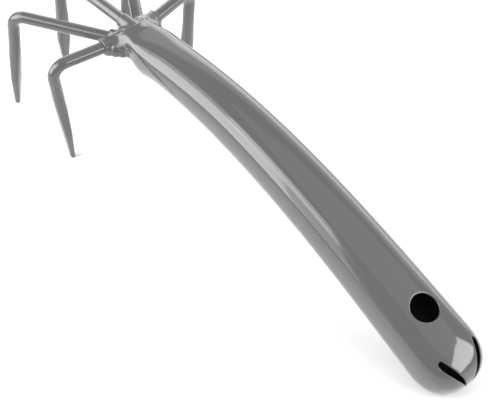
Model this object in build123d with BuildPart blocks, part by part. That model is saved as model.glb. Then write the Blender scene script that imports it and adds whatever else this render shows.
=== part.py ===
"""Five-tine hand cultivator: a rolled sheet-steel handle pinched round five bent rods.

+X runs from the handle towards the tines, +Z is up and Y is across.  The origin is on the
ground under the middle of the tool, which rests on its two outer tines and its butt.
"""
from math import cos, radians, sin
import os

from build123d import *

os.makedirs("parts", exist_ok=True)

# Sheet-steel handle
SHEET_T = 1.2  # wall of the pressed sheet
HANDLE_LENGTH = 213.0  # along the arched centre line, from the head to the start of the nose
FRONT_WIDTH = 21.0
BUTT_WIDTH = 33.0
FRONT_HEIGHT = 22.4
BUTT_HEIGHT = 28.6
CORNER_SHARE = 0.40  # corner radius as a share of the smaller side
FRONT_X = 79.0  # centre line where the handle meets the head
FRONT_Z = 62.4
FRONT_DIP = -8.9  # slope of the centre line at the head, degrees below level going back
BEND_RATE = 0.3019  # degrees of slope gained per millimetre
BEND_EASE = 0.000696  # how quickly that rate fades towards the butt
SEAM_GAP = 0.9  # open joint along the underside

# Rounded nose that closes the butt
NOSE_LENGTH = 19.2
NOSE_POWER = 2.4  # above 2 the end is fuller than an ellipse
NOSE_END_SHARE = 0.26
TONGUE_HALF_WIDTH = 10.6  # top flap where it starts to bend down
TONGUE_TIP_HALF_WIDTH = 1.5
SLIT_WIDTH = 2.6
SLIT_LENGTH = 18.0
FACE_TILT = 40.0  # the bend of the tongue faces this far above level

# Hanging hole, through the top sheet only
HOLE_D = 13.6
HOLE_FROM_NOSE = 18.0  # forward along the centre line from where the nose begins

# Tines of round bar
ROD_D = 6.0
ELBOW_R = 7.0
INNER_AZIMUTH = 31.0  # degrees either side of straight ahead
OUTER_AZIMUTH = 78.6
CENTER_REACH = 62.3  # from the root of the arms to the elbow
INNER_REACH = 67.6
OUTER_REACH = 44.0
TAPER_START = 0.30  # share of the leg where the forged point begins
BLADE_AT = 0.72  # share of the leg where the point is widest
BLADE_WIDTH = 1.20  # widest part, in rod diameters
TIP_WIDTH = 0.45
TIP_THICKNESS = 0.40

# Head, where the sheet is pinched round the rods
SLEEVE_R = ROD_D / 2 + 0.75 * SHEET_T  # the sheet thins as it is pressed round
WEB_T = 2 * SHEET_T
WEB_Z = 63.5
WEB_R = 12.0
LIP_HEIGHT = 5.5
HEAD_S = 8.0  # the handle keeps its own section from here back

# Weld beads in the crooks behind the outer rods: radius, and how far out along the arm
WELD_BEADS = ((0.47 * ROD_D, 10.2), (0.44 * ROD_D, 12.7), (0.35 * ROD_D, 14.8))
WELD_DROP = 0.22 * ROD_D  # beads sit this far below the rod's axis
WELD_HALF_HEIGHT = 0.44 * ROD_D


def slope(s):
    """Slope of the handle's centre line s millimetres behind the head, in radians."""
    return radians(FRONT_DIP + BEND_RATE * s - BEND_EASE * s * s)


def centre_point(s):
    """Point on the centre line, summed in short steps from the head."""
    steps = max(1, round(abs(s)))
    x, z = FRONT_X, FRONT_Z
    for i in range(steps):
        angle = slope(s * (i + 0.5) / steps)
        x -= cos(angle) * s / steps
        z -= sin(angle) * s / steps
    return x, z


def handle_plane(s):
    """Plane square to the centre line, looking back along the handle."""
    x, z = centre_point(s)
    return Plane((x, 0, z), x_dir=(0, 1, 0), z_dir=(-cos(slope(s)), 0, -sin(slope(s))))


def handle_size(s):
    """Width and height of the handle s millimetres behind the head."""
    share = s / HANDLE_LENGTH
    width = FRONT_WIDTH + (BUTT_WIDTH - FRONT_WIDTH) * share
    height = FRONT_HEIGHT + (BUTT_HEIGHT - FRONT_HEIGHT) * share
    return width, height


def loft_through(sections, wall=0.0):
    """Smooth body through rounded rectangles given as (plane, width, height)."""
    with BuildPart() as body:
        for plane, width, height in sections:
            w, h = width - 2 * wall, height - 2 * wall
            with BuildSketch(plane):
                RectangleRounded(w, h, CORNER_SHARE * min(w, h))
        loft()
    return body.part


def handle_sections(first, last, count):
    """Evenly spaced sections of the handle between two stations."""
    stations = [first + (last - first) * i / (count - 1) for i in range(count)]
    return [(handle_plane(s), *handle_size(s)) for s in stations]


def nose_sections(length):
    """Sections that shrink towards the closed butt."""
    sections = []
    for share in (0.0, 0.3, 0.55, 0.75, 0.9, 1.0):
        plane = handle_plane(HANDLE_LENGTH + share * length)
        scale = max(NOSE_END_SHARE, (1 - share**NOSE_POWER) ** (1 / NOSE_POWER))
        width, height = handle_size(HANDLE_LENGTH)
        sections.append((plane, width * scale, height * scale))
    return sections


def tine(root, elbow, tip, start):
    """One bent rod with a flattened, pointed leg, beginning a little way out from its root."""
    root, elbow, tip = Vector(*root), Vector(*elbow), Vector(*tip)
    arm = (elbow - root).normalized()
    leg = (tip - elbow).normalized()
    leg_length = (tip - elbow).length
    across = arm.cross(leg).normalized()
    bend = Plane(root, x_dir=arm, z_dir=across)
    taper_point = elbow + leg * (TAPER_START * leg_length)
    with BuildPart() as rod:
        with BuildLine(bend) as path:
            corners = [bend.to_local_coords(p) for p in (root + arm * start, elbow, taper_point)]
            FilletPolyline(*[(p.X, p.Y) for p in corners], radius=ELBOW_R)
        with BuildSketch(Plane(root + arm * start, x_dir=across, z_dir=arm)):
            Circle(ROD_D / 2)
        sweep(path=path.line)
    with BuildPart() as point:
        for share in (TAPER_START, 0.45, BLADE_AT, 0.9, 1.0):
            level = (share - TAPER_START) / (1 - TAPER_START)
            thick = 1 + (TIP_THICKNESS - 1) * level**1.5
            if share <= BLADE_AT:
                swell = (share - TAPER_START) / (BLADE_AT - TAPER_START)
                wide = 1 + (BLADE_WIDTH - 1) * swell * swell
            else:
                wide = BLADE_WIDTH + (TIP_WIDTH - BLADE_WIDTH) * (share - BLADE_AT) / (1 - BLADE_AT)
            centre = elbow + leg * (share * leg_length)
            with BuildSketch(Plane(centre, x_dir=across, z_dir=leg)):
                Ellipse(wide * ROD_D / 2, thick * ROD_D / 2)
        loft()
    with BuildPart() as whole:
        add(rod.part)
        add(point.part)
    return whole.part


def sleeve(root, elbow, start, end):
    """Tube of sheet closed round a rod, from one distance to another along its arm."""
    root, elbow = Vector(*root), Vector(*elbow)
    arm = (elbow - root).normalized()
    with BuildPart() as tube:
        with BuildSketch(Plane(root + arm * start, z_dir=arm)):
            Circle(SLEEVE_R)
        extrude(amount=end - start)
    return tube.part


def arm_end(root, azimuth, reach, height):
    """Elbow of an arm that leaves its root at an azimuth and ends at a height."""
    angle = radians(azimuth)
    return (root[0] + reach * cos(angle), root[1] + reach * sin(angle), height)


def write(part, name):
    part.label = name
    export_step(part, f"parts/{name}.step")


# Roots, elbows and tips of the tines on the left; the right ones mirror them.
CENTER_ROOT = (FRONT_X - 0.2, 0, 68.9)
INNER_ROOT = (FRONT_X - 5.0, 0, 62.7)
OUTER_ROOT = (FRONT_X + 2.6, 0, 64.2)
center_elbow = arm_end(CENTER_ROOT, 0, CENTER_REACH, 68.0)
inner_elbow = arm_end(INNER_ROOT, INNER_AZIMUTH, INNER_REACH, 65.5)
outer_elbow = arm_end(OUTER_ROOT, OUTER_AZIMUTH, OUTER_REACH, 63.4)
center_tip = (center_elbow[0] + 2.7, 0, 5.8)
inner_tip = (inner_elbow[0] + 4.8, inner_elbow[1] + 1.8, 5.5)
outer_tip = (outer_elbow[0] + 0.5, outer_elbow[1] - 6.2, 0.05 * TIP_THICKNESS * ROD_D)

# How far along each arm the rod begins and the sleeve round it begins and ends
CENTER_SPAN = (4.5, -4.0, 11.0)
INNER_SPAN = (1.64 * ROD_D, 6.0, 17.8)
OUTER_SPAN = (2.36 * ROD_D, 4.0, 2.75 * ROD_D)

center = tine(CENTER_ROOT, center_elbow, center_tip, CENTER_SPAN[0])
inner_left = tine(INNER_ROOT, inner_elbow, inner_tip, INNER_SPAN[0])
outer_left = tine(OUTER_ROOT, outer_elbow, outer_tip, OUTER_SPAN[0])
inner_right = mirror(inner_left, about=Plane.XZ)
outer_right = mirror(outer_left, about=Plane.XZ)
tines = {
    "tine_center": center,
    "tine_inner_left": inner_left,
    "tine_inner_right": inner_right,
    "tine_outer_left": outer_left,
    "tine_outer_right": outer_right,
}

left_sleeves = [
    sleeve(INNER_ROOT, inner_elbow, *INNER_SPAN[1:]),
    sleeve(OUTER_ROOT, outer_elbow, *OUTER_SPAN[1:]),
]
sleeves = [sleeve(CENTER_ROOT, center_elbow, *CENTER_SPAN[1:])]
sleeves += left_sleeves + [mirror(tube, about=Plane.XZ) for tube in left_sleeves]

# The head falls from the handle's full section to a flat lip between the sleeves.
cavity_start = HEAD_S + 1.0
facing_back = {"x_dir": (0, 1, 0), "z_dir": (-1, 0, 0)}
lip_width = 2 * WEB_R - 2
head_sections = [
    (Plane((FRONT_X + 8.5, 0, WEB_Z), **facing_back), lip_width, LIP_HEIGHT),
    (Plane((FRONT_X + 2, 0, WEB_Z), **facing_back), lip_width + 1.5, 15.0),
    (handle_plane(HEAD_S), *handle_size(HEAD_S)),
]
outer_parts = [
    loft_through(head_sections),
    loft_through(handle_sections(HEAD_S, HANDLE_LENGTH, 8)),
    loft_through(nose_sections(NOSE_LENGTH)),
]
cavity_parts = [
    loft_through(handle_sections(cavity_start, HANDLE_LENGTH, 8), SHEET_T),
    loft_through(nose_sections(NOSE_LENGTH - SHEET_T), SHEET_T),
]

hole_station = HANDLE_LENGTH - HOLE_FROM_NOSE
hole_x, hole_z = centre_point(hole_station)
hole_tilt = slope(hole_station)
hole_plane = Plane((hole_x, 0, hole_z), x_dir=(0, 1, 0), z_dir=(-sin(hole_tilt), 0, cos(hole_tilt)))

# Plane facing the bend of the tongue; its own y runs down towards the tongue's tip.
butt_x, butt_z = centre_point(HANDLE_LENGTH + NOSE_LENGTH / 2)
tilt = radians(FACE_TILT)
face = Plane((butt_x - 6.0, 0, butt_z + 5.9), x_dir=(0, 1, 0), z_dir=(-cos(tilt), 0, sin(tilt)))

with BuildPart() as handle_shell:
    for piece in outer_parts:
        add(piece)
    with BuildSketch(Plane.XY.offset(WEB_Z - WEB_T / 2)):
        with Locations((FRONT_X, 0)):
            Circle(WEB_R)
    extrude(amount=WEB_T)
    for tube in sleeves:
        add(tube)
    for piece in cavity_parts:
        add(piece, mode=Mode.SUBTRACT)
    # hanging hole
    with BuildSketch(hole_plane):
        Circle(HOLE_D / 2)
    extrude(amount=BUTT_HEIGHT, mode=Mode.SUBTRACT)
    # open seam along the underside, up to the tip of the tongue
    with BuildSketch(Plane.XZ.offset(-SEAM_GAP / 2)):
        with BuildLine():
            front = centre_point(cavity_start + 12)
            middle = centre_point(HANDLE_LENGTH / 2)
            Polyline(
                front,
                middle,
                (butt_x, butt_z),
                (butt_x - NOSE_LENGTH, butt_z - 6.7),
                (butt_x - NOSE_LENGTH, -BUTT_HEIGHT),
                (front[0], -BUTT_HEIGHT),
                close=True,
            )
        make_face()
    extrude(amount=SEAM_GAP, mode=Mode.SUBTRACT)
    # slits either side of the tongue, straight on the tongue and bowed on the cheek
    with BuildSketch(face):
        for side in (1, -1):
            start = (side * TONGUE_HALF_WIDTH, -SLIT_LENGTH / 2)
            end = (side * (TONGUE_TIP_HALF_WIDTH + 0.8), SLIT_LENGTH / 2)
            bow = (side * ((TONGUE_HALF_WIDTH + TONGUE_TIP_HALF_WIDTH) / 2 + SLIT_WIDTH), 0)
            with BuildLine():
                Line(end, start)
                ThreePointArc(start, bow, end)
            make_face()
    extrude(amount=6, both=True, mode=Mode.SUBTRACT)
    for rod in tines.values():
        add(rod, mode=Mode.SUBTRACT)


def weld(side, rods):
    """Run of lumpy weld beads behind an outer rod's root, in the crook with the handle."""
    with BuildPart() as bead:
        with BuildSketch(Plane.XY.offset(OUTER_ROOT[2] - WELD_DROP)):
            for radius, out in WELD_BEADS:
                x = OUTER_ROOT[0] + out * cos(radians(OUTER_AZIMUTH)) - SLEEVE_R
                with Locations((x, side * out * sin(radians(OUTER_AZIMUTH)))):
                    Circle(radius)
        extrude(amount=WELD_HALF_HEIGHT, both=True)
        add(handle_shell.part, mode=Mode.SUBTRACT)
        for rod in rods:
            add(rod, mode=Mode.SUBTRACT)
    return bead.part


for name, part in tines.items():
    write(part, name)
write(handle_shell.part, "handle_shell")
write(weld(1, (outer_left, inner_left)), "weld_left")
write(weld(-1, (outer_right, inner_right)), "weld_right")
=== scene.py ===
"""Five-tine hand cultivator in gloss grey enamel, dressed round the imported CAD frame."""
from math import cos, pi, radians, sin, tan

import bpy
import numpy as np
from mathutils import Matrix, Quaternion, Vector


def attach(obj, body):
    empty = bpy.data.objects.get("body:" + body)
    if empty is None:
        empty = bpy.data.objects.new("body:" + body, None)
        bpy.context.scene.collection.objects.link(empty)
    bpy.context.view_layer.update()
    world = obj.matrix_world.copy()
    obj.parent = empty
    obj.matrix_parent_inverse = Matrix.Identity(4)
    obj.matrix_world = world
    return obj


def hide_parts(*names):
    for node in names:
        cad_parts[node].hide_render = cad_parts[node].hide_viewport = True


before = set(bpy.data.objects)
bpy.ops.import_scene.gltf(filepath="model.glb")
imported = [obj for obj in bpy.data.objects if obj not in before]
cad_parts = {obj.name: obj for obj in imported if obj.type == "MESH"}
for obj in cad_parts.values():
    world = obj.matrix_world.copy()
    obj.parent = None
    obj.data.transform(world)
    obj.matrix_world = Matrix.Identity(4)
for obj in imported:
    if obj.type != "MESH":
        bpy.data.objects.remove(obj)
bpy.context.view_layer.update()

MM = 0.001
BODY = "root"

# ---------------------------------------------------------------- sizes, in millimetres
FRONT_X = 79.0  # centre line of the handle where it meets the head
FRONT_Z = 62.4
FRONT_DIP = -8.9  # slope of that line at the head, in degrees, falling towards the butt
BEND_RATE = 0.3019
BEND_EASE = 0.000696
HANDLE_LENGTH = 213.0
NOSE_LENGTH = 19.2
NOSE_POWER = 2.4
SHEET = 1.2
FRONT_WIDTH, BUTT_WIDTH = 21.0, 33.0
FRONT_HEIGHT, BUTT_HEIGHT = 22.4, 28.6
FRONT_POWER, BUTT_POWER = 2.2, 2.5  # 2 is an ellipse, higher is squarer
HOLE_AT, HOLE_R = 195.3, 6.8
SEAM_GAP = 0.9

CREST_LENGTH = 75.0  # stretch behind the head over which the crown flattens
CREST_RISE = 2.4  # how far the widest line climbs over that stretch
CREST_HEIGHT = 7.0  # crown above the widest line at the head
CREST_WIDEN = 0.45  # added to the half width at the head
PINCH_FROM, PINCH_LENGTH = 17.0, 20.0  # where the underside starts to close, and over what length
PINCH_DEPTH = 5.2  # underside below the widest line at the head
PINCH_NARROW = 1.8  # taken off the half width at the head
SQUARE_FROM, SQUARE_LENGTH = 30.0, 28.0  # where the section starts to turn squarer
FRONT_CLOSES, FRONT_CAP = 2.0, 9.0  # where the front starts to close, and over what length
SOLID_FRONT = 9.0  # the tube is hollow only behind this
SEAM_FROM = 22.0

WEB_Z, WEB_HALF, WEB_R = 63.8, 1.6, 11.4
SADDLE_AT = (81.0, 63.2)
SADDLE_HALF = (6.2, 13.2)
SADDLE_UP, SADDLE_DOWN = 5.6, 3.6
RIM_AT, RIM_SWEEP = 1.8, 7.5  # rim at the middle, and how far its ends lie forward
RIM_STEP, RIM_FADE = 0.4, 12.0
RIM_BEAD, RIM_BEAD_AT, RIM_BEAD_HALF = 0.32, 0.7, 0.55

BAR_R = 3.0
ELBOW_R = 7.0
SLEEVE_R = 3.87
LIP_R = 0.55  # rolled lip at the mouth of a sleeve


# ---------------------------------------------------------------- centre line of the handle
def slope(s):
    return np.radians(FRONT_DIP + BEND_RATE * s - BEND_EASE * s * s)


LINE_STEP = 0.25
LINE_S = np.arange(-30.0, 242.0, LINE_STEP)
LINE_SLOPE = slope(LINE_S[:-1] + LINE_STEP / 2)
LINE_X = np.concatenate([[0.0], np.cumsum(-np.cos(LINE_SLOPE) * LINE_STEP)])
LINE_Z = np.concatenate([[0.0], np.cumsum(-np.sin(LINE_SLOPE) * LINE_STEP)])
LINE_X += FRONT_X - np.interp(0.0, LINE_S, LINE_X)
LINE_Z += FRONT_Z - np.interp(0.0, LINE_S, LINE_Z)


def to_world(s, n):
    """x and z of a point s behind the head and n above the centre line."""
    a = slope(s)
    x = np.interp(s, LINE_S, LINE_X) - np.sin(a) * n
    z = np.interp(s, LINE_S, LINE_Z) + np.cos(a) * n
    return x, z


# ---------------------------------------------------------------- tines
def unit(v):
    v = np.asarray(v, float)
    return v / np.linalg.norm(v)


class Tine:
    """Root, elbow and tip of one bent bar, where it starts, and where its sleeve runs."""

    def __init__(self, root, azimuth, reach, elbow_z, tip_out, tip_z, start, sleeve, side=1):
        flip = np.array([1.0, side, 1.0])
        a = radians(azimuth)
        elbow = (root[0] + reach * cos(a), reach * sin(a), elbow_z)
        self.root = np.array(root, float)
        self.elbow = np.array(elbow) * flip
        self.tip = np.array((elbow[0] + tip_out[0], elbow[1] + tip_out[1], tip_z)) * flip
        self.start = start
        self.sleeve = sleeve
        self.arm = unit(self.elbow - self.root)
        self.leg = unit(self.tip - self.elbow)
        self.across = unit(np.cross(self.arm, self.leg))


# root, azimuth, reach, elbow height, tip beyond the elbow, tip height, start, sleeve
CENTER = ((FRONT_X - 0.2, 0, 68.9), 0.0, 62.3, 68.0, (2.7, 0.0), 5.8, 4.5, (-4.0, 10.8))
INNER = ((FRONT_X - 5.0, 0, 62.7), 31.0, 67.6, 65.5, (4.8, 1.8), 5.5, 9.0, (6.0, 17.8))
OUTER = ((FRONT_X + 2.6, 0, 64.2), 78.6, 44.0, 63.4, (0.5, -6.2), 0.13, 9.0, (4.0, 16.5))
TINES = {
    "tine_center": Tine(*CENTER),
    "tine_inner_left": Tine(*INNER),
    "tine_inner_right": Tine(*INNER, side=-1),
    "tine_outer_left": Tine(*OUTER),
    "tine_outer_right": Tine(*OUTER, side=-1),
}


# ---------------------------------------------------------------- shapes as distance fields
def union(a, b, k):
    """Both shapes, with a fillet of size k between them."""
    h = np.clip(0.5 + 0.5 * (b - a) / k, 0, 1)
    return b * (1 - h) + a * h - k * h * (1 - h)


def cut(a, b, k):
    """Shape a with shape b taken away, edges eased by k."""
    return -union(-a, b, k)


def ease(t):
    """0 to 1 with no kink at either end."""
    t = np.clip(t, 0, 1)
    return t * t * t * (t * (6 * t - 15) + 10)


def bar_distance(x, y, z, tine):
    """Distance from a tine's arm, and how far along the arm the nearest point is."""
    px, py, pz = x - tine.root[0], y - tine.root[1], z - tine.root[2]
    along = px * tine.arm[0] + py * tine.arm[1] + pz * tine.arm[2]
    away = px * px + py * py + pz * pz - along * along
    return np.sqrt(np.maximum(away, 1e-9)), along


def tube_level(s, y, n):
    """1 on the outside of the rolled tube, less inside it."""
    share = np.clip(s / HANDLE_LENGTH, -0.1, 1)
    half_w = (FRONT_WIDTH + (BUTT_WIDTH - FRONT_WIDTH) * share) / 2
    half_h = (FRONT_HEIGHT + (BUTT_HEIGHT - FRONT_HEIGHT) * share) / 2
    # towards the head the widest line rises and the crown above it flattens
    crest = np.clip((CREST_LENGTH - s) / CREST_LENGTH, 0, 1)
    crest = crest * crest * (3 - 2 * crest)
    middle = CREST_RISE * crest
    up = half_h + (CREST_HEIGHT - half_h) * crest
    half_w = half_w + CREST_WIDEN * crest
    # under the head the sheet is pinched up to the bars, and the section turns squarer
    pinch = ease((PINCH_FROM - s) / PINCH_LENGTH)
    down = half_h + middle
    down = down + (PINCH_DEPTH - down) * pinch
    half_w = half_w - PINCH_NARROW * pinch
    m = n - middle
    tall = np.where(m > 0, up, down)
    p = FRONT_POWER + (BUTT_POWER - FRONT_POWER) * share
    p = p + ease((SQUARE_FROM - s) / SQUARE_LENGTH)
    ring = (np.abs(y / half_w) ** p + np.abs(m / tall) ** p) ** (1 / p)
    back = np.clip((s - HANDLE_LENGTH) / NOSE_LENGTH, 0, None)
    front = np.clip((FRONT_CLOSES - s) / FRONT_CAP, 0, None)
    return (ring**NOSE_POWER + back**NOSE_POWER + front**NOSE_POWER) ** (1 / NOSE_POWER)


def tube(s, y, n):
    """Distance outside the rolled tube, near its surface."""
    e = 0.05
    g = tube_level(s, y, n)
    gs = (tube_level(s + e, y, n) - g) / e
    gy = (tube_level(s, y + e, n) - g) / e
    gn = (tube_level(s, y, n + e) - g) / e
    return (g - 1) / np.sqrt(gs * gs + gy * gy + gn * gn + 1e-6)


def saddle(x, y, z):
    """Distance outside the broad saddle of sheet pressed over the outer bars."""
    tall = np.where(z > SADDLE_AT[1], SADDLE_UP, SADDLE_DOWN)
    block = np.abs((x - SADDLE_AT[0]) / SADDLE_HALF[0]) ** 3 + np.abs(y / SADDLE_HALF[1]) ** 3
    block = (block + np.abs((z - SADDLE_AT[1]) / tall) ** 3) ** (1 / 3)
    return (block - 1) * 5.5


def shell(s, y, n):
    """The whole pressed and rolled sheet: handle, head, sleeves, hole, slits and seam."""
    x, z = to_world(s, n)
    outer = tube(s, y, n)
    web = cut(np.abs(z - WEB_Z) - WEB_HALF, WEB_R - np.hypot(x - FRONT_X, y), 0.8)
    head = union(union(outer, web, 2.0), saddle(x, y, z), 3.0)
    rings = []
    for name, tine in TINES.items():
        away, along = bar_distance(x, y, z, tine)
        ends = np.maximum(tine.sleeve[0] - along, along - tine.sleeve[1])
        sleeve = cut(away - SLEEVE_R, -ends, 0.5)
        head = union(head, sleeve, 1.6 if name == "tine_center" else 2.6)
        if name != "tine_center":
            lip = np.hypot(away - SLEEVE_R + 0.2, along - tine.sleeve[1] + 0.6)
            rings.append(lip - LIP_R)
    # the handle's sheet laps over the head and ends in a raised, rolled edge
    behind = s - RIM_AT + RIM_SWEEP * (np.abs(y) / 13.0) ** 1.5
    head = head - RIM_STEP * ease((behind + 0.4) / 0.8) * (1 - ease(behind / RIM_FADE))
    head = head - RIM_BEAD * np.exp(-(((behind - RIM_BEAD_AT) / RIM_BEAD_HALF) ** 2))
    for ring in rings:
        head = union(head, ring, 0.45)
    hollow = np.maximum(outer + SHEET, SOLID_FRONT - s)
    body = cut(head, hollow, 0.4)
    hole = np.maximum(np.hypot(s - HOLE_AT, y) - HOLE_R, -n)
    body = cut(body, hole, 0.5)
    # the seam's two edges draw together under the butt
    seam = np.maximum(np.abs(y) - SEAM_GAP / 2, n + 1.5 * np.clip((s - 205) / 20, 0, 1))
    body = cut(body, np.maximum(seam, SEAM_FROM - s), 0.4)
    return cut(body, slits(x, y, z), 0.4)


# the tongue folded down over the butt, and the slits beside it
FACE = radians(40.0)  # the fold faces this far above level
FACE_X, FACE_Z = -140.8, 18.15
SLIT_HALF_LENGTH = 9.4
TONGUE_HALF, TONGUE_TAPER = 5.3, 4.3  # half width at mid length, and what it loses to either end
SLIT_OPENING = 8.6
SLIT_DEPTH = 6.0


def slits(x, y, z):
    """Distance into the two slits beside the tongue, wide at the top and closing to the tip."""
    v = -(x - FACE_X) * sin(FACE) - (z - FACE_Z) * cos(FACE)
    depth = -(x - FACE_X) * cos(FACE) + (z - FACE_Z) * sin(FACE)
    t = v / SLIT_HALF_LENGTH
    down = np.clip((t + 1) / 2, 0, 1)
    straight = TONGUE_HALF - TONGUE_TAPER * t
    opening = SLIT_OPENING * down**0.45 * (1 - down) ** 1.1
    opening = opening - 0.5 * np.maximum(np.abs(t) - 1, 0)
    side = np.abs(y)
    across = np.maximum(straight - side, side - straight - opening) * 0.88
    return np.maximum(across, np.abs(depth) - SLIT_DEPTH)


def net(field, levels, rounds=3):
    """Quad skin where a field on a box grid changes sign, pulled on to the true surface."""
    grid = np.meshgrid(*levels, indexing="ij")
    value = field(*grid)
    inside = value < 0
    dims = np.array(value.shape) - 1
    total = np.zeros((*dims, 3))
    count = np.zeros(dims)
    crossings = []
    for axis in range(3):
        lo = [slice(None)] * 3
        hi = [slice(None)] * 3
        lo[axis], hi[axis] = slice(None, -1), slice(1, None)
        lo, hi = tuple(lo), tuple(hi)
        i, j, k = np.nonzero(inside[lo] != inside[hi])
        v0, v1 = value[lo][i, j, k], value[hi][i, j, k]
        t = v0 / (v0 - v1)
        point = np.stack([g[lo][i, j, k] for g in grid], 1)
        point[:, axis] += t * (grid[axis][hi][i, j, k] - grid[axis][lo][i, j, k])
        cell = np.stack([i, j, k], 1)
        b, c = (axis + 1) % 3, (axis + 2) % 3
        around = []
        for db, dc in ((0, 0), (-1, 0), (-1, -1), (0, -1)):
            near = cell.copy()
            near[:, b] += db
            near[:, c] += dc
            ok = ((near >= 0) & (near < dims)).all(1)
            around.append((near, ok))
            n = near[ok]
            np.add.at(total, (n[:, 0], n[:, 1], n[:, 2]), point[ok])
            np.add.at(count, (n[:, 0], n[:, 1], n[:, 2]), 1)
        crossings.append((around, v0 < 0))
    used = count > 0
    index = np.full(dims, -1)
    index[used] = np.arange(used.sum())
    verts = total[used] / count[used][:, None]
    faces = []
    for around, outward in crossings:
        ok = np.all([o for _, o in around], 0)
        ring = np.stack([index[tuple(np.where(ok[:, None], n, 0).T)] for n, _ in around], 1)
        ring = np.where(outward[:, None], ring, ring[:, ::-1])[ok]
        faces.append(ring)
    e = 0.04
    for _ in range(rounds):
        f = field(*verts.T)
        g = np.stack([field(*(verts + d).T) - f for d in np.eye(3) * e], 1) / e
        move = f[:, None] * g / (np.sum(g * g, 1)[:, None] + 1e-3)
        verts -= np.clip(move, -0.3, 0.3)
    f = field(*verts.T)
    normal = np.stack([field(*(verts + d).T) - field(*(verts - d).T) for d in np.eye(3) * e], 1)
    return verts, np.concatenate(faces), normal


def add_mesh(name, verts, faces, node, material, normals=None):
    """A finished piece that rides on the tool and stands for one CAD node."""
    mesh = bpy.data.meshes.new(name)
    mesh.from_pydata((verts * MM).tolist(), [], faces)
    mesh.update()
    mesh.polygons.foreach_set("use_smooth", np.ones(len(mesh.polygons), bool))
    if normals is not None:
        length = np.linalg.norm(normals, axis=1)[:, None]
        mesh.normals_split_custom_set_from_vertices((normals / np.maximum(length, 1e-9)).tolist())
    mesh.materials.append(material)
    piece = bpy.data.objects.new(name, mesh)
    bpy.context.scene.collection.objects.link(piece)
    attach(piece, BODY)
    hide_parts(node)
    return piece


def levels(*runs):
    """Grid levels from (start, end, spacing) runs laid end to end."""
    out = [np.array([runs[0][0]])]
    for start, end, gap in runs:
        count = max(1, round((end - start) / gap))
        out.append(np.linspace(start, end, count + 1)[1:])
    return np.concatenate(out)


# ---------------------------------------------------------------- materials
class Val:
    """A socket that turns arithmetic into Math nodes."""

    def __init__(self, shader, socket):
        self.shader, self.socket = shader, socket

    def _math(self, operation, a, b=None):
        sockets = {0: a} if b is None else {0: a, 1: b}
        return self.shader.node("ShaderNodeMath", {"operation": operation}, sockets)

    def __add__(self, other):
        return self._math("ADD", self, other)

    __radd__ = __add__

    def __mul__(self, other):
        return self._math("MULTIPLY", self, other)

    __rmul__ = __mul__

    def __sub__(self, other):
        return self._math("SUBTRACT", self, other)

    def __rsub__(self, other):
        return self._math("SUBTRACT", other, self)

    def over(self, low, high):
        """0 below low, 1 above high, smooth between."""
        return self.shader.node(
            "ShaderNodeMapRange",
            {"interpolation_type": "SMOOTHSTEP"},
            {"Value": self, "From Min": low, "From Max": high},
        )


class Shader:
    """A material under construction."""

    def __init__(self, name):
        self.material = bpy.data.materials.new(name)
        self.material.use_nodes = True
        self.tree = self.material.node_tree
        self.tree.nodes.clear()

    def node(self, kind, settings=None, sockets=None, out=0):
        made = self.tree.nodes.new(kind)
        for key, value in (settings or {}).items():
            setattr(made, key, value)
        for key, value in (sockets or {}).items():
            if isinstance(value, Val):
                self.tree.links.new(value.socket, made.inputs[key])
            else:
                made.inputs[key].default_value = value
        return Val(self, made.outputs[out])

    def mix(self, factor, a, b):
        """Colour a where factor is 0, b where it is 1."""
        made = self.tree.nodes.new("ShaderNodeMix")
        made.data_type = "RGBA"
        for key, value in ((0, factor), (6, a), (7, b)):
            if isinstance(value, Val):
                self.tree.links.new(value.socket, made.inputs[key])
            else:
                made.inputs[key].default_value = value
        return Val(self, made.outputs[2])

    def place(self):
        return self.node("ShaderNodeTexCoord", out="Object")

    def noise(self, place, scale, detail=3.0, roughness=0.5):
        return self.node(
            "ShaderNodeTexNoise",
            {},
            {"Vector": place, "Scale": scale, "Detail": detail, "Roughness": roughness},
        )

    def finish(self, **sockets):
        names = {key.replace("_", " "): value for key, value in sockets.items()}
        surface = self.node("ShaderNodeBsdfPrincipled", {}, names)
        output = self.tree.nodes.new("ShaderNodeOutputMaterial")
        self.tree.links.new(surface.socket, output.inputs["Surface"])
        return self.material


def enamel(name, base, peel=0.35, grime=0.0, painted_shade_inside=False):
    """Gloss enamel over steel: flow marks, dust in the gloss, orange peel, painted shade inside a
    tube.
    """
    sh = Shader(name)
    place = sh.place()
    # slow flow of the paint, the finest mottle, and specks of dust
    broad = sh.noise(place, 28.0, 2.0)
    fine = sh.noise(place, 900.0, 3.0)
    speck = sh.noise(place, 420.0, 5.0, 0.62).over(0.66, 0.72)
    shade = (broad - 0.5) * 0.10 + (fine - 0.5) * 0.03
    light = [min(1, c * 1.12) for c in base] + [1]
    dark = [c * 0.90 for c in base] + [1]
    colour = sh.mix(shade + 0.5, dark, light)
    worn = [min(1, c * 1.7) for c in base] + [1]
    colour = sh.mix(speck * 0.12, colour, worn)
    inside = 0.0
    # inside the tube the colour is painted near black as shade, and the gloss coat is left off
    if painted_shade_inside:
        inside = sh.node("ShaderNodeAttribute", {"attribute_name": "inside"}, out="Fac")
        colour = sh.mix(inside, colour, (0.03, 0.028, 0.026, 1))
    rough = inside * 0.5 + 0.13 + (broad - 0.5) * 0.06 + speck * 0.12 + grime * (fine - 0.4)
    # orange peel
    ripple = sh.noise(place, 260.0, 2.0) * 0.6 + sh.noise(place, 1300.0, 1.0) * 0.25
    bump = sh.node("ShaderNodeBump", {}, {"Strength": peel, "Distance": 0.00006, "Height": ripple})
    coat = 0.6 - inside * 0.6
    return sh.finish(
        Base_Color=colour, Roughness=rough, Normal=bump, Coat_Weight=coat, Coat_Roughness=0.05
    )


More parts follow.
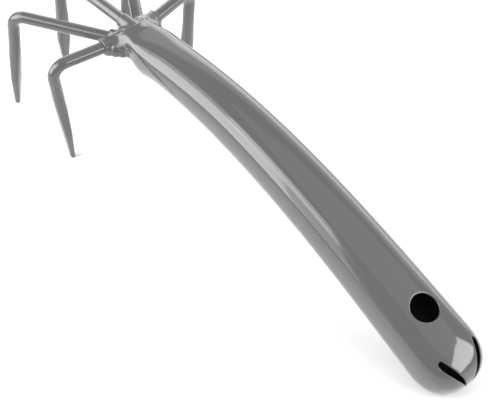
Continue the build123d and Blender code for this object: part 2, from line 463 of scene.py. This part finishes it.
GREY = (0.083, 0.083, 0.0845)
handle_enamel = enamel("handle_enamel", GREY, painted_shade_inside=True)
tine_enamel = enamel("tine_enamel", GREY, peel=0.5, grime=0.05)
weld_enamel = enamel("weld_enamel", GREY, peel=0.9, grime=0.08)


# ---------------------------------------------------------------- handle
def build_handle():
    s = levels((-12.6, 8, 0.36), (8, 24, 0.6), (24, 180, 2.6), (180, 214, 0.5), (214, 233.2, 0.4))
    y = levels((-17.8, 17.8, 0.4))
    n = levels((-14.9, 14.9, 0.4))
    verts, faces, normal = net(shell, (s, y, n))
    a = slope(verts[:, 0])
    x, z = to_world(verts[:, 0], verts[:, 2])
    world = np.stack([x, verts[:, 1], z], 1)
    nx = -np.cos(a) * normal[:, 0] - np.sin(a) * normal[:, 2]
    nz = -np.sin(a) * normal[:, 0] + np.cos(a) * normal[:, 2]
    world_normal = np.stack([nx, normal[:, 1], nz], 1)
    # (s, y, n) is a left-handed set, so the faces turn over
    handle = add_mesh(
        "handle",
        world,
        faces[:, ::-1].tolist(),
        "handle_shell",
        handle_enamel,
        world_normal,
    )
    # marks the inner wall of the tube, where the enamel paints shade near black
    depth = -tube(*verts.T)
    inside = handle.data.attributes.new("inside", "FLOAT", "POINT")
    inside.data.foreach_set("value", ((depth > 0.6) & (verts[:, 0] > 8.0)).astype(np.float32))


# ---------------------------------------------------------------- tines
AROUND = 40
TAPER_START = 0.30  # share of the leg where the forged point begins
BLADE_AT, BLADE_WIDTH = 0.72, 1.20  # where the point is widest, and its width there
TIP_WIDTH, TIP_THICKNESS = 0.45, 0.40  # against the bar's diameter


def blade(share):
    """Half width, half thickness and squareness of a leg, by how far down it is."""
    if share < TAPER_START:
        return BAR_R, BAR_R, 2.0
    level = (share - TAPER_START) / (1 - TAPER_START)
    thick = 1 - (1 - TIP_THICKNESS) * level**1.5
    swell = min(1.0, (share - TAPER_START) / (BLADE_AT - TAPER_START))
    wide = 1 + (BLADE_WIDTH - 1) * swell * swell
    if share > BLADE_AT:
        wide = BLADE_WIDTH + (TIP_WIDTH - BLADE_WIDTH) * (share - BLADE_AT) / (1 - BLADE_AT)
    return BAR_R * wide, BAR_R * thick, 2.0 + ease(level * 3)


def bar_line(tine):
    """Centre, direction and share of the leg at each ring of the sweep; -1 above the leg."""
    turn = np.arccos(np.clip(tine.arm @ tine.leg, -1, 1))
    trim = ELBOW_R * np.tan(turn / 2)
    reach = np.linalg.norm(tine.elbow - tine.root)
    drop = np.linalg.norm(tine.tip - tine.elbow)
    inward = unit(tine.leg - tine.arm * (tine.arm @ tine.leg))
    line = []
    for along in np.linspace(tine.start, reach - trim, 14):
        line.append((tine.root + tine.arm * along, tine.arm, -1.0))
    pivot = tine.root + tine.arm * (reach - trim) + inward * ELBOW_R
    for angle in np.linspace(0, turn, 15)[1:]:
        out = -inward * cos(angle) + tine.arm * sin(angle)
        way = tine.arm * cos(angle) + inward * sin(angle)
        line.append((pivot + out * ELBOW_R, way, -1.0))
    for along in np.linspace(trim, drop, 52)[1:]:
        line.append((tine.elbow + tine.leg * along, tine.leg, along / drop))
    return line


def build_tine(node, tine):
    """A round bar swept along arm, elbow and leg, then forged to a flat point."""
    angle = np.linspace(0, 2 * pi, AROUND, endpoint=False)
    c, d = np.cos(angle), np.sin(angle)
    rings = []
    for centre, way, share in bar_line(tine):
        wide, thick, power = blade(share)
        outward = unit(np.cross(tine.across, way))
        grow = (np.abs(c) ** power + np.abs(d) ** power) ** (-1 / power)
        flat = np.outer(c * grow * wide, tine.across) + np.outer(d * grow * thick, outward)
        rings.append(centre + flat)
    # the tip is ground flat across
    for shrink in (0.866, 0.6, 0.312):
        flat = np.outer(c * wide, tine.across) + np.outer(d * thick, outward)
        rings.append(centre + flat * shrink)
    faces = []
    for row in range(len(rings) - 1):
        for k in range(AROUND):
            a, b = row * AROUND + k, row * AROUND + (k + 1) % AROUND
            faces.append((a, a + AROUND, b + AROUND, b))
    last = (len(rings) - 1) * AROUND
    faces.append(list(range(AROUND)))
    faces.append([last + k for k in range(AROUND)][::-1])
    name = node.replace("tine", "bar")
    add_mesh(name, np.concatenate(rings), faces, node, tine_enamel)


# ---------------------------------------------------------------- welds
# centre and radius of each lump, on the left
BEADS = ((82.9, 14.1, 63.4, 3.4), (80.2, 12.0, 63.3, 3.5), (77.6, 9.9, 63.1, 3.3))
BEAD_GRID = 0.28


def build_weld(side, node):
    """Three lumps of weld in the crook between an outer bar and the side of the handle."""

    def bead(x, y, z):
        lumps = None
        for bx, by, bz, radius in BEADS:
            lump = np.sqrt((x - bx) ** 2 + (y - side * by) ** 2 + ((z - bz) * 0.85) ** 2) - radius
            lumps = lump if lumps is None else union(lumps, lump, 0.6)
        return lumps

    x = levels((74.0, 88.0, BEAD_GRID))
    y = np.sort(levels((5.0, 20.0, BEAD_GRID)) * side)
    z = levels((58.5, 67.5, BEAD_GRID))
    verts, faces, normal = net(bead, (x, y, z))
    name = node.replace("weld", "bead")
    add_mesh(name, verts, faces.tolist(), node, weld_enamel, normal)


build_handle()
for node, tine in TINES.items():
    build_tine(node, tine)
build_weld(1, "weld_left")
build_weld(-1, "weld_right")


# ---------------------------------------------------------------- floor
def build_floor():
    sh = Shader("floor_paper")
    place = sh.place()
    tone = (sh.noise(place, 3.0, 2.0) - 0.5) * 0.02
    # a painted pool of light: the paper is painted lightest under the tool and greyer further out
    reach = sh.node("ShaderNodeVectorMath", {"operation": "LENGTH"}, {0: place}, out="Value")
    pool_falloff = reach.over(0.12, 0.42)
    paper_with_painted_pool = sh.mix(tone + 1.0 - pool_falloff, (0.3, 0.3, 0.3, 1), (0.9, 0.9, 0.9, 1))
    material = sh.finish(Base_Color=paper_with_painted_pool, Roughness=0.75)
    mesh = bpy.data.meshes.new("floor")
    half = 3.0
    corners = [(-half, -half, 0), (half, -half, 0), (half, half, 0), (-half, half, 0)]
    mesh.from_pydata(corners, [], [(0, 1, 2, 3)])
    mesh.materials.append(material)
    floor = bpy.data.objects.new("floor", mesh)
    bpy.context.scene.collection.objects.link(floor)


# ---------------------------------------------------------------- lamps, world and camera
TOOL_MIDDLE = Vector((-0.02, 0, 0.04))


def softbox(name, azimuth, elevation, distance, half_angles, brightness, roll=0.0):
    """A rectangular soft light aimed at the middle of the tool, sized by its half angles."""
    width, height = (2 * distance * tan(radians(half)) for half in half_angles)
    lamp = bpy.data.lights.new(name, "AREA")
    lamp.shape = "RECTANGLE"
    lamp.size, lamp.size_y = width, height
    lamp.energy = brightness * pi * width * height
    a, e = radians(azimuth), radians(elevation)
    where = Vector((cos(a) * cos(e), sin(a) * cos(e), sin(e))) * distance
    where += TOOL_MIDDLE
    made = bpy.data.objects.new(name, lamp)
    made.location = where
    aim = (TOOL_MIDDLE - where).to_track_quat("-Z", "Y")
    made.rotation_euler = (aim @ Quaternion((0, 0, 1), radians(roll))).to_euler()
    bpy.context.scene.collection.objects.link(made)


def build_world():
    world = bpy.data.worlds.new("studio")
    bpy.context.scene.world = world
    world.use_nodes = True
    back = world.node_tree.nodes["Background"]
    back.inputs["Color"].default_value = (1, 1, 1, 1)
    back.inputs["Strength"].default_value = 0.55


CAMERA_AT = (-0.38034, 0.33757, 0.5556)
CAMERA_HEADING, CAMERA_TILT, CAMERA_ROLL = -41.74, -47.17, -0.33
LENS = 111.6


def build_camera():
    data = bpy.data.cameras.new("camera")
    data.lens = LENS
    data.sensor_width = 36.0
    data.clip_start = 0.01
    camera = bpy.data.objects.new("camera", data)
    heading, tilt, roll = (radians(v) for v in (CAMERA_HEADING, CAMERA_TILT, CAMERA_ROLL))
    look = Vector((cos(tilt) * cos(heading), cos(tilt) * sin(heading), sin(tilt)))
    right = look.cross(Vector((0, 0, 1))).normalized()
    up = right.cross(look)
    right, up = right * cos(roll) + up * sin(roll), up * cos(roll) - right * sin(roll)
    turn = Matrix((right, up, -look)).transposed()
    camera.matrix_world = Matrix.Translation(CAMERA_AT) @ turn.to_4x4()
    bpy.context.scene.collection.objects.link(camera)
    bpy.context.scene.camera = camera


build_floor()
build_world()
build_camera()
# azimuth, elevation and distance of each lamp, its half angles, and its brightness
softbox("left_softbox", 51, 20, 1.1, (24, 21), 3.3)
softbox("left_halo", 55, 25, 1.2, (31, 29), 1.9)
softbox("left_upper", 78, 47, 1.15, (13, 12), 2.6)
softbox("right_softbox", -151, 26, 1.1, (25, 18), 5.5, roll=15)
softbox("far_glow", -52, 10, 1.5, (40, 14), 1.3)
softbox("far_halo", -52, 18, 1.6, (42, 24), 0.6)
softbox("overhead", -140, 74, 1.2, (26, 26), 0.4)
bpy.context.scene.view_settings.view_transform = "Standard"
